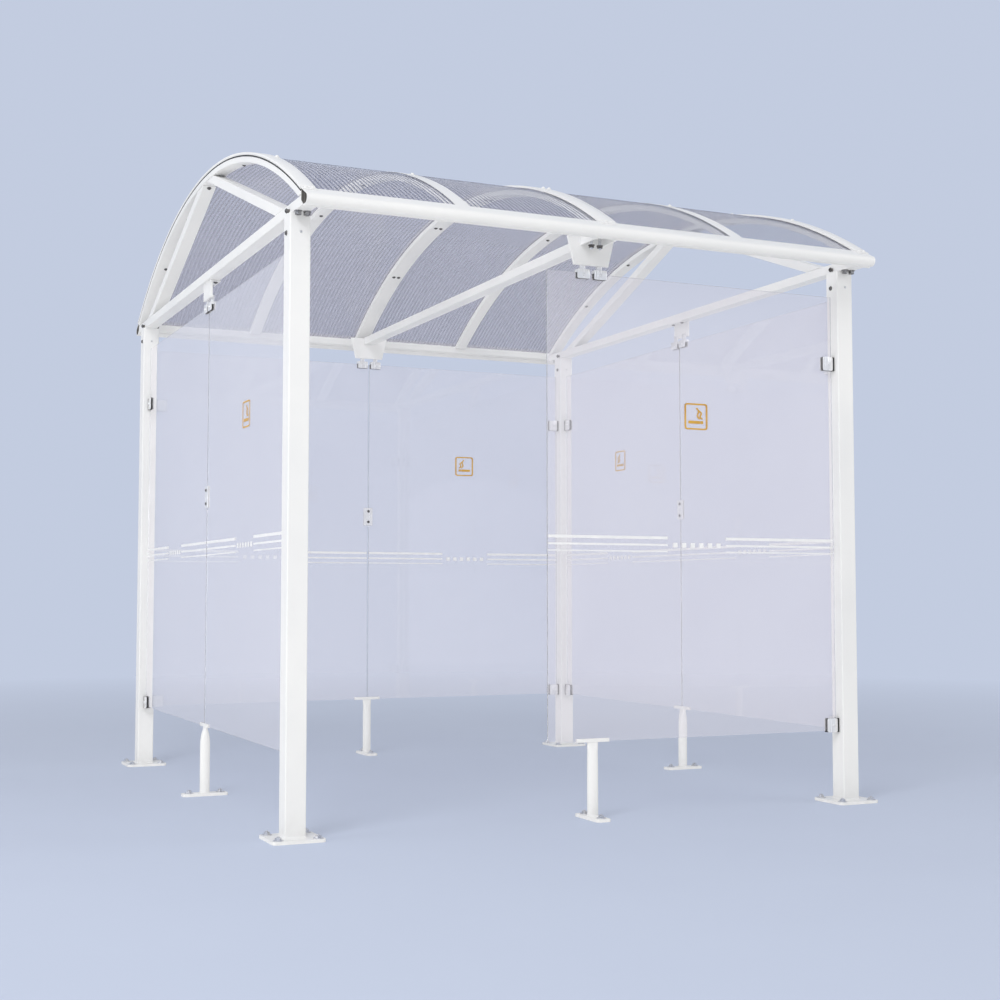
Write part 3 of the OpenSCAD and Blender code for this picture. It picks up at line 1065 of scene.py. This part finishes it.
def roof_bolt_places():
    """Places on the thick strips, on the thin ones, and the matching places under the arches."""
    tops, thin, unders = [], [], []
    for x in ARCH_PLACES:
        at_end = abs(x) == END_ARCH_X
        rows = END_ARCH_BOLTS if at_end else INNER_ARCH_BOLTS
        shifts = (-PAIR_HALF, PAIR_HALF) if x == 0.0 else (0.0,)
        if at_end:
            shifts = (math.copysign(END_BOLT_SHIFT, -x),)
        for y in rows:
            for shift in shifts:
                if x in STRIP_PLACES:
                    tops.append((roof_point(x + shift, y), roof_normal(y)))
                else:
                    seat = SHEET_DEPTH - QUARTER_STRIP_T
                    thin.append((roof_point(x + shift, y, seat), roof_normal(y, seat)))
                depth = ARCH_DEPTH + ARCH_T
                unders.append((roof_point(x + shift, y, depth), -roof_normal(y, depth)))
    return tops, thin, unders


def tongue_bolt_places():
    places = []
    for side in (-1, 1):
        out = Vector((0.0, side * eave_top_out.y, eave_top_out.z))
        for x in STRIP_PLACES:
            for shift in (-TONGUE_BOLT_HALF, TONGUE_BOLT_HALF):
                base = eave_top_point(x + shift, STRIP_END + TONGUE_BOLT_OUT, side)
                places.append((base + out * TONGUE_T, out))
    return places


def anchor_places():
    """Four anchors on each base plate and two on the foot of each leg."""
    spots = []
    for sx, sy in CORNERS:
        for hx, hy in CORNERS:
            spots.append((sx * HALF_X + hx * ANCHOR_HALF, sy * HALF_Y + hy * ANCHOR_HALF))
    for s, t in CORNERS:
        spots.append((0.0, s * HALF_Y + t * FOOT_ANCHOR_HALF))
        spots.append((s * HALF_X + t * FOOT_ANCHOR_HALF, 0.0))
    return [(Vector((x, y, PLATE_TOP)), UP) for x, y in spots]


def post_bolt_places():
    """Bolts through the sides of each post head, and spaced ones on the tie beam over it."""
    on_post, on_tie = [], []
    for sx, sy in CORNERS:
        for face in (-1, 1):
            out = Vector((face, 0.0, 0.0))
            y = sy * (HALF_Y - POST_BOLT_IN)
            on_post.append((Vector((sx * HALF_X + face * POST_HALF, y, POST_BOLT_Z)), out))
            on_tie.append((Vector((sx * HALF_X + face * TIE_HALF, y, POST_TOP + TIE_BOLT_UP)), out))
    return on_post, on_tie


def post_screw_places():
    """One small screw on the front and back of each post head."""
    places = []
    for sx, sy in CORNERS:
        for face in (-1, 1):
            point = Vector((sx * HALF_X + POST_SCREW_SHIFT, sy * HALF_Y + face * POST_HALF, POST_BOLT_Z))
            places.append((point, Vector((0.0, face, 0.0))))
    return places


def eave_bolt_places():
    """Two hexagon bolts under the end of each side tie beam, between post and eave beam."""
    y = HALF_Y + POST_HALF + EAVE_BOLT_OUT
    places = []
    for sx, sy in CORNERS:
        for shift in (-EAVE_BOLT_HALF, EAVE_BOLT_HALF):
            places.append((Vector((sx * HALF_X + shift, sy * y, POST_TOP)), DOWN))
    return places


# Bracket fittings: bolts hung from each channel, a flange under each side tie beam

HANGER_TOP = bracket_high.z + 0.028
HANGER_Y = HALF_Y + 0.058
HANGER_PLACES = (-0.027, 0.011)
FLANGE_T = 0.006
FLANGE_HALF = 0.060
FLANGE_IN = 0.038
FLANGE_BOLT_Y = 0.042


def bracket_flanges():
    bm = bmesh.new()
    for side in (-1, 1):
        plate_in = side * bracket_low.x
        x0, x1 = sorted((plate_in, plate_in - side * FLANGE_IN))
        low = (x0, -FLANGE_HALF, POST_TOP - FLANGE_T)
        join(bm, block(low, (x1, FLANGE_HALF, POST_TOP), PLATE_EDGE))
    piece(bm, "bracket_flanges", [paint])


bracket_flanges()


def bracket_bolt_places():
    hangers, buttons = [], []
    for side in (-1, 1):
        for x in HANGER_PLACES:
            hangers.append((Vector((x, side * HANGER_Y, HANGER_TOP)), DOWN))
        x = side * (bracket_low.x - FLANGE_IN / 2)
        for y in (-FLANGE_BOLT_Y, FLANGE_BOLT_Y):
            buttons.append((Vector((x, y, POST_TOP - FLANGE_T)), DOWN))
    return hangers, buttons


def rafter_bolt_places():
    """A bolt under each rafter, next to the crown."""
    drop = RAFTER_DEEP / math.cos(RAFTER_SLOPE)
    z = ROOF_TOP + RAFTER_RISE - drop - RAFTER_BOLT_Y * math.tan(RAFTER_SLOPE)
    places = []
    for sx, sy in CORNERS:
        out = Vector((0.0, -sy * math.sin(RAFTER_SLOPE), -math.cos(RAFTER_SLOPE)))
        places.append((Vector((sx * HALF_X, sy * RAFTER_BOLT_Y, z)), out))
    return places


roof_tops, roof_thin, roof_unders = roof_bolt_places()
bracket_hangers, bracket_buttons = bracket_bolt_places()
post_places, tie_places = post_bolt_places()
fasten("roof_dome_bolts", dome, roof_tops, paint)
fasten("thin_strip_bolts", wide_dome, roof_thin, paint)
fasten("roof_lock_nuts", nut, roof_unders, dark_bolt)
fasten("tongue_bolts", dome, tongue_bolt_places(), paint, size=SMALLER)
fasten("anchor_bolts", anchor, anchor_places(), bright_bolt)
fasten("post_bolts", button, post_places, dark_bolt)
fasten("tie_bolts", spaced, tie_places, dark_bolt)
fasten("post_screws", small, post_screw_places(), bright_bolt)
fasten("eave_bolts", hex_bolt, eave_bolt_places(), grey_bolt)
fasten("bracket_rods", rod, bracket_hangers, bright_bolt)
fasten("bracket_nuts", rod_nut, bracket_hangers, dark_bolt)
fasten("rafter_bolts", button, rafter_bolt_places() + bracket_buttons, dark_bolt)


# Weld fillets round the posts on their base plates and round the leg tubes

WELD_LEG = 0.006
POST_CORNER = 0.005
LEG_R = 0.0220


def weld_fillets():
    bm = bmesh.new()
    leg = WELD_LEG
    inner = rounded(POST_HALF, POST_HALF, POST_CORNER)
    outer = rounded(POST_HALF + leg, POST_HALF + leg, POST_CORNER + leg)
    for sx, sy in CORNERS:
        part = bmesh.new()
        low = [part.verts.new((x, y, 0.0)) for x, y in outer]
        top = [part.verts.new((x, y, leg)) for x, y in inner]
        base = [part.verts.new((x, y, 0.0)) for x, y in inner]
        for first, second in ((low, top), (top, base), (base, low)):
            ring_faces(part, first, second)
        join(bm, part, Matrix.Translation((sx * HALF_X, sy * HALF_Y, PLATE_TOP)))
    for x, y in ((0.0, HALF_Y), (0.0, -HALF_Y), (HALF_X, 0.0), (-HALF_X, 0.0)):
        r = LEG_R
        profile = [(r, 0.0), (r + leg, 0.0), (r + leg * 0.4, leg * 0.35), (r, leg), (r, 0.0)]
        part = lathe(profile, 32)
        bmesh.ops.remove_doubles(part, verts=part.verts, dist=1e-6)
        join(bm, part, Matrix.Translation((x, y, PLATE_TOP)))
    bmesh.ops.recalc_face_normals(bm, faces=bm.faces)
    piece(bm, "weld_fillets", [paint], SHARP_ON_WELDS)


weld_fillets()


# Glass clamps: two steel jaws with rubber pads and a rubber seat, held by a socket screw

CLAMP_W = 0.060
CLAMP_SEAT = 0.009
CLAMP_HALF_T = 0.014
CLAMP_EDGE = 0.0012
PAD_T = 0.0060
PAD_EDGE = 0.0004
SEAT_EDGE = 0.0006
JAW_CORNER, HUNG_CORNER = 0.006, 0.004
JAW_IN = GLASS_T / 2 + PAD_T
CLAMP_HEIGHTS = (0.330, 1.899)
HUNG_W = 0.057
HUNG_LOW, HUNG_TOP = 2.172, 2.210
HUNG_SHIFT = 0.0385
NECK_W, NECK_T = 0.022, 0.012
NECK_EDGE = 0.001
SIDE_NECK_UP = 0.014
POST_CLAMP_SCREW = (0.030, 0.0)
HUNG_CLAMP_SCREW = (0.0, HUNG_LOW + 0.016)


def post_clamp():
    """Drawn from the post's face along +X, with the pane in the X-Z plane."""
    bm = bmesh.new()
    half = CLAMP_W / 2
    jaw_half = (CLAMP_W - CLAMP_SEAT) / 2
    seat_x, seat_y = CLAMP_SEAT + 0.001, CLAMP_HALF_T - SEAT_EDGE
    join(bm, block((0.0, -seat_y, -half), (seat_x, seat_y, half), SEAT_EDGE), slot=1)
    for side in (-1, 1):
        place = stand((CLAMP_W - jaw_half, side * JAW_IN, 0.0), (-side, 0.0, 0.0), UP)
        join(bm, prism(rounded(jaw_half, half, JAW_CORNER), CLAMP_HALF_T - JAW_IN, CLAMP_EDGE), place)
        y0, y1 = sorted((side * GLASS_T / 2, side * JAW_IN))
        low = (seat_x, y0, -half + SEAT_EDGE)
        join(bm, block(low, (CLAMP_W - PAD_EDGE, y1, half - SEAT_EDGE), PAD_EDGE), slot=1)
    return bm


def hung_clamp(neck_top):
    """Drawn for a pane along X, with a neck up to its bracket."""
    bm = bmesh.new()
    half = HUNG_W / 2
    height = HUNG_TOP - HUNG_LOW
    middle = (HUNG_TOP + HUNG_LOW) / 2
    bridge_top = HUNG_TOP - 0.001
    join(bm, block((-half, -JAW_IN, GLASS_TOP + 0.002), (half, JAW_IN, bridge_top), SEAT_EDGE))
    neck_low = (-NECK_W / 2, -NECK_T / 2, bridge_top)
    join(bm, block(neck_low, (NECK_W / 2, NECK_T / 2, neck_top), NECK_EDGE))
    for side in (-1, 1):
        place = stand((0.0, side * JAW_IN, middle), (-side, 0.0, 0.0), UP)
        join(bm, prism(rounded(half, height / 2, HUNG_CORNER), CLAMP_HALF_T - JAW_IN, CLAMP_EDGE), place)
        y0, y1 = sorted((side * GLASS_T / 2, side * JAW_IN))
        low = (-half + PAD_EDGE, y0, HUNG_LOW + PAD_EDGE)
        join(bm, block(low, (half - PAD_EDGE, y1, GLASS_TOP + 0.0015), PAD_EDGE), slot=1)
    return bm


def turned(x, y, z, degrees):
    return Matrix.Translation((x, y, z)) @ Matrix.Rotation(math.radians(degrees), 4, "Z")


inner_x = HALF_X - POST_HALF
inner_y = HALF_Y - POST_HALF
POST_CLAMP_PLACES = (
    (-HALF_X, inner_y, -90), (-HALF_X, -inner_y, 90),
    (HALF_X, inner_y, -90), (HALF_X, -inner_y, 90),
    (-inner_x, HALF_Y, 0), (inner_x, HALF_Y, 180),
    (inner_x, -HALF_Y, 180),
)
clamp_screws = []


def screw_pair(place, at):
    """Notes a screw on both faces of a clamp, at a point of its own drawing."""
    for side in (-1, 1):
        point = place @ Vector((at[0], side * CLAMP_HALF_T, at[1]))
        clamp_screws.append((point, place.to_3x3() @ Vector((0.0, side, 0.0))))


def post_clamps():
    bm = bmesh.new()
    for x, y, angle in POST_CLAMP_PLACES:
        for z in CLAMP_HEIGHTS:
            place = turned(x, y, z, angle)
            join(bm, post_clamp(), place, slot=None)
            screw_pair(place, POST_CLAMP_SCREW)
    piece(bm, "post_clamp_jaws", [stainless, rubber], replaces=("post_clamps",))


def hung_clamps():
    bm = bmesh.new()
    for shift in (-HUNG_SHIFT, HUNG_SHIFT):
        for side in (-1, 1):
            for place, top in (
                (turned(shift, side * HALF_Y, 0.0, 0), BRACKET_LOW),
                (turned(side * HALF_X, shift, 0.0, 90), BRACKET_LOW + SIDE_NECK_UP),
            ):
                join(bm, hung_clamp(top), place, slot=None)
                screw_pair(place, HUNG_CLAMP_SCREW)
    piece(bm, "hung_clamp_jaws", [stainless, rubber], replaces=("hung_clamps",))


post_clamps()
hung_clamps()
fasten("clamp_screws", button, clamp_screws, stainless, size=SMALLER)


# Joint clips: two screws on each plate

CLIP_T = 0.005
CLIP_SCREW_SIZE = 0.75
CLIP_SCREW_HALF = 0.030


def clip_screw_places():
    low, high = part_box("joint_clips")
    middle = (low.z + high.z) / 2
    out = GLASS_T / 2 + CLIP_T
    places = []
    for face in (-1, 1):
        for dz in (-CLIP_SCREW_HALF, CLIP_SCREW_HALF):
            places.append((Vector((0.0, HALF_Y + face * out, middle + dz)), Vector((0.0, face, 0.0))))
            for side in (-1, 1):
                point = Vector((side * HALF_X + face * out, 0.0, middle + dz))
                places.append((point, Vector((face, 0.0, 0.0))))
    return places


fasten("clip_screws", button, clip_screw_places(), dark_bolt, size=CLIP_SCREW_SIZE)


# Legs: a round tube drawn in to a flat neck, with a slim cradle for the glass

LEG_SECTIONS = (
    (PLATE_TOP, LEG_R, LEG_R),
    (0.2200, LEG_R, LEG_R),
    (0.2420, 0.0216, 0.0212),
    (0.2600, 0.0212, 0.0194),
    (0.2720, 0.0216, 0.0166),
    (0.2820, 0.0225, 0.0128),
    (0.2920, 0.0234, 0.0085),
    (GLASS_LOW - 0.002, 0.0236, 0.0066),
)
LEG_STEPS = 40
CRADLE_HALF_L, CRADLE_HALF_W = 0.0730, 0.0085
CRADLE_LOW, CRADLE_UP = 0.003, 0.0115
CRADLE_EDGE, CHEEK_EDGE = 0.0008, 0.0010
FOOT_HALF_L, FOOT_HALF_W = 0.100, 0.031
FOOT_CORNER = 0.012


def leg_ring(part, z, half_l, half_t):
    """A ring that is round where both halves are alike and squarer where it is flat."""
    power = 1.0 - 0.55 * (1.0 - half_t / max(half_l, half_t))
    ring = []
    for i in range(LEG_STEPS):
        a = 2 * math.pi * i / LEG_STEPS
        c, s = math.cos(a), math.sin(a)
        x = math.copysign(abs(c) ** power, c) * half_l
        y = math.copysign(abs(s) ** power, s) * half_t
        ring.append(part.verts.new((x, y, z)))
    return ring


def leg_tube():
    part = bmesh.new()
    closed_rings(part, [leg_ring(part, *section) for section in LEG_SECTIONS])
    return part


def glass_leg(x, y, angle, name, node):
    """Drawn for a pane along X, with its foot plate across the pane."""
    bm = bmesh.new()
    join(bm, prism(rounded(FOOT_HALF_W, FOOT_HALF_L, FOOT_CORNER), PLATE_TOP, PLATE_EDGE))
    join(bm, leg_tube())
    low = (-CRADLE_HALF_L, -CRADLE_HALF_W, GLASS_LOW - CRADLE_LOW)
    join(bm, block(low, (CRADLE_HALF_L, CRADLE_HALF_W, GLASS_LOW - 0.0004), CRADLE_EDGE))
    for side in (-1, 1):
        y0, y1 = sorted((side * (GLASS_T / 2 + 0.0002), side * CRADLE_HALF_W))
        low = (-CRADLE_HALF_L, y0, GLASS_LOW - 0.001)
        join(bm, block(low, (CRADLE_HALF_L, y1, GLASS_LOW + CRADLE_UP), CHEEK_EDGE))
    bm.transform(turned(x, y, 0.0, angle))
    piece(bm, name, [paint], SHARP_ON_ROUNDS, (node,))


glass_leg(0.0, -HALF_Y, 0, "glass_leg_front", "leg_front")
glass_leg(0.0, HALF_Y, 0, "glass_leg_back", "leg_back")
glass_leg(-HALF_X, 0.0, 90, "glass_leg_left", "leg_left")
glass_leg(HALF_X, 0.0, 90, "glass_leg_right", "leg_right")


# Film on the glass: three stripes with a row of small squares, and a smoking sign

FILM_T = 0.0004
FILM_GAP = 0.0004
STRIPES = ((1.125, 0.012), (1.096, 0.008), (1.069, 0.005))
STRIPE_GAP = 0.142
STRIPE_END = 0.004
SQUARES = 6
SQUARE = 0.010
SQUARE_CORNER = 0.002
SQUARE_PITCH = 0.042
SIGN_Z = 1.635
SIGN_HALF = 0.055
SIGN_CORNER = 0.012
SIGN_LINE = 0.006
SIGN_CORNER_IN = 0.007
CURL_W = 0.0055
CURL_STEPS = 12
SIGN_PLACES = (
    ("glass_front", 0.494),
    ("glass_back_right", 0.590),
    ("glass_right_back", 0.640),
    ("glass_left_front", -0.655),
)
WALLS = {
    "glass_front": ((1, 0, 0), (0.0, -HALF_Y - GLASS_T / 2)),
    "glass_back_left": ((-1, 0, 0), (0.0, HALF_Y + GLASS_T / 2)),
    "glass_back_right": ((-1, 0, 0), (0.0, HALF_Y + GLASS_T / 2)),
    "glass_left_front": ((0, -1, 0), (-HALF_X - GLASS_T / 2, 0.0)),
    "glass_left_back": ((0, -1, 0), (-HALF_X - GLASS_T / 2, 0.0)),
    "glass_right_front": ((0, 1, 0), (HALF_X + GLASS_T / 2, 0.0)),
    "glass_right_back": ((0, 1, 0), (HALF_X + GLASS_T / 2, 0.0)),
}
FILM_DEPTHS = (FILM_GAP, -(GLASS_T + FILM_GAP + FILM_T))


def pane_places(node, along, z):
    """The places of a drawing on both faces of a pane, along it from the wall's middle."""
    right, (x, y) = WALLS[node]
    right = Vector(right)
    origin = Vector((x, y, z)) + Vector((abs(right.x), abs(right.y), 0.0)) * along
    return [stand(origin + right.cross(UP) * depth, right, UP) for depth in FILM_DEPTHS]


def pane_reach(node):
    """Where a pane starts and ends along its wall."""
    low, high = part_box(node)
    return (low.x, high.x) if high.x - low.x > high.y - low.y else (low.y, high.y)


def glass_stripes():
    bm = bmesh.new()
    for node in WALLS:
        a, b = pane_reach(node)
        middle = (a + b) / 2
        for z, thick in STRIPES:
            for start, stop in ((a + STRIPE_END, middle - STRIPE_GAP), (middle + STRIPE_GAP, b - STRIPE_END)):
                half = (stop - start) / 2
                outline = [(-half, -thick / 2), (half, -thick / 2), (half, thick / 2), (-half, thick / 2)]
                for place in pane_places(node, (start + stop) / 2, z):
                    join(bm, prism(outline, FILM_T), place)
        for i in range(SQUARES):
            along = middle + (i - (SQUARES - 1) / 2) * SQUARE_PITCH
            outline = rounded(SQUARE, SQUARE, SQUARE_CORNER, 3)
            for place in pane_places(node, along, STRIPES[1][0]):
                join(bm, prism(outline, FILM_T), place)
    piece(bm, "glass_stripes", [white_film])


def ribbon(points, width):
    """The outline of a line of that width through points, anticlockwise."""
    left, right = [], []
    for i, p in enumerate(points):
        before, after = points[max(i - 1, 0)], points[min(i + 1, len(points) - 1)]
        along = Vector((after[0] - before[0], after[1] - before[1])).normalized()
        across = Vector((-along.y, along.x)) * width / 2
        left.append((p[0] + across.x, p[1] + across.y))
        right.append((p[0] - across.x, p[1] - across.y))
    return right + left[::-1]


def smoking_sign(bm, place):
    """A rounded square frame with a lit bar and a curl of smoke."""
    outer = rounded(SIGN_HALF, SIGN_HALF, SIGN_CORNER)
    inner = rounded(SIGN_HALF - SIGN_LINE, SIGN_HALF - SIGN_LINE, SIGN_CORNER_IN)
    join(bm, frame_ring(outer, inner, FILM_T), place)
    for start, stop in ((-0.036, 0.018), (0.022, 0.034)):
        bar = [(start, -0.030), (stop, -0.030), (stop, -0.018), (start, -0.018)]
        join(bm, prism(bar, FILM_T), place)
    for shift, reach in ((0.0, 0.046), (0.013, 0.034)):
        curl = []
        for i in range(CURL_STEPS + 1):
            t = i / CURL_STEPS
            sway = 0.006 * math.sin(t * 2 * math.pi)
            curl.append((0.018 + shift - sway - 0.016 * t, -0.010 + reach * t))
        join(bm, prism(ribbon(curl, CURL_W), FILM_T), place)


def smoking_signs():
    bm = bmesh.new()
    for node, along in SIGN_PLACES:
        for place in pane_places(node, along, SIGN_Z):
            smoking_sign(bm, place)
    piece(bm, "smoking_signs", [gold_film])


glass_stripes()
smoking_signs()

for spare in patterns:
    bpy.data.objects.remove(spare)


# Floor, backdrop and light

WHITE = (1.0, 1.0, 1.0, 1.0)
FLOOR_UNSEEN = (0.93, 0.93, 0.93)
FLOOR_R = 160.0
FADE_FROM, FADE_TO = 3.0, 10.0


def seen_ray(tree):
    """1 for rays that show the backdrop: from the camera, off gloss and through glass."""
    path = tree.nodes.new("ShaderNodeLightPath")
    either = arithmetic(tree, "MAXIMUM", path.outputs["Is Camera Ray"], path.outputs["Is Glossy Ray"])
    return arithmetic(tree, "MAXIMUM", either, path.outputs["Is Transmission Ray"])


def studio_floor():
    """A pale floor that keeps shadows near the shelter, lights it from below and fades into the backdrop."""
    made, tree, shader = finish_base("studio_floor")
    tone = spread(tree, noise(tree, 1.2, 3.0), 0.0, 1.0)
    near = blend_colours(tree, tone, FLOOR_DARK, FLOOR_LIGHT)
    seen = seen_ray(tree)
    shade(tree, shader, seen, FLOOR_UNSEEN, near)
    shader.inputs["Emission Color"].default_value = WHITE
    tree.links.new(spread(tree, seen, FLOOR_GLOW, 0.0, 0.0, 1.0), shader.inputs["Emission Strength"])
    shader.inputs["Roughness"].default_value = 0.9
    shader.inputs["Specular IOR Level"].default_value = 0.1
    distance = tree.nodes.new("ShaderNodeVectorMath")
    distance.operation = "LENGTH"
    tree.links.new(object_coords(tree), distance.inputs[0])
    far = spread(tree, distance.outputs["Value"], 0.0, 1.0, FADE_FROM, FADE_TO)
    glow = tree.nodes.new("ShaderNodeEmission")
    glow.inputs["Color"].default_value = (*BACKDROP, 1.0)
    fade = arithmetic(tree, "MULTIPLY", far, seen)
    blend_shaders(tree, fade, shader.outputs["BSDF"], glow.outputs["Emission"], "Material Output")
    bm = bmesh.new()
    bmesh.ops.create_circle(bm, cap_ends=True, radius=FLOOR_R, segments=64)
    floor = new_object("floor", mesh_from(bm, "floor", [made]))


def studio_world():
    """White light from all round, with a plain backdrop where it is seen."""
    world = bpy.data.worlds.new("studio")
    scene.world = world
    world.use_nodes = True
    tree = world.node_tree
    sky = tree.nodes["Background"]
    sky.inputs["Color"].default_value = WHITE
    sky.inputs["Strength"].default_value = SKY_LIGHT
    seen = tree.nodes.new("ShaderNodeBackground")
    seen.inputs["Color"].default_value = (*BACKDROP, 1.0)
    lit, shown = sky.outputs["Background"], seen.outputs["Background"]
    blend_shaders(tree, seen_ray(tree), lit, shown, "World Output")


def lamp(name, place, aim, size, watts):
    data = bpy.data.lights.new(name, "AREA")
    data.shape = "DISK"
    data.size = size
    data.energy = watts
    made = new_object(name, data)
    made.location = place
    made.rotation_euler = (Vector(aim) - Vector(place)).to_track_quat("-Z", "Y").to_euler()


studio_floor()
studio_world()
lamp("key", (-5.5, -6.0, 7.5), (0.0, 0.0, 1.2), 4.5, 290.0)
lamp("fill", (6.5, -5.0, 5.0), (0.0, 0.0, 1.4), 5.0, 70.0)
lamp("low_fill", (-2.5, -8.5, 0.9), (0.0, 0.0, 2.0), 3.0, 40.0)
lamp("side_fill", (-8.0, -1.0, 1.4), (0.0, 0.0, 2.0), 3.5, 95.0)

camera_data = bpy.data.cameras.new("camera")
camera_data.sensor_width = 36.0
camera_data.lens = 54.47
camera = new_object("camera", camera_data)
camera.location = (-2.8656, -6.7335, 0.8950)
camera.rotation_euler = (math.radians(93.55), 0.0, math.radians(-24.53))
scene.camera = camera

scene.view_settings.view_transform = "Standard"
scene.cycles.transparent_max_bounces = 48
scene.cycles.transmission_bounces = 24
scene.cycles.max_bounces = 24
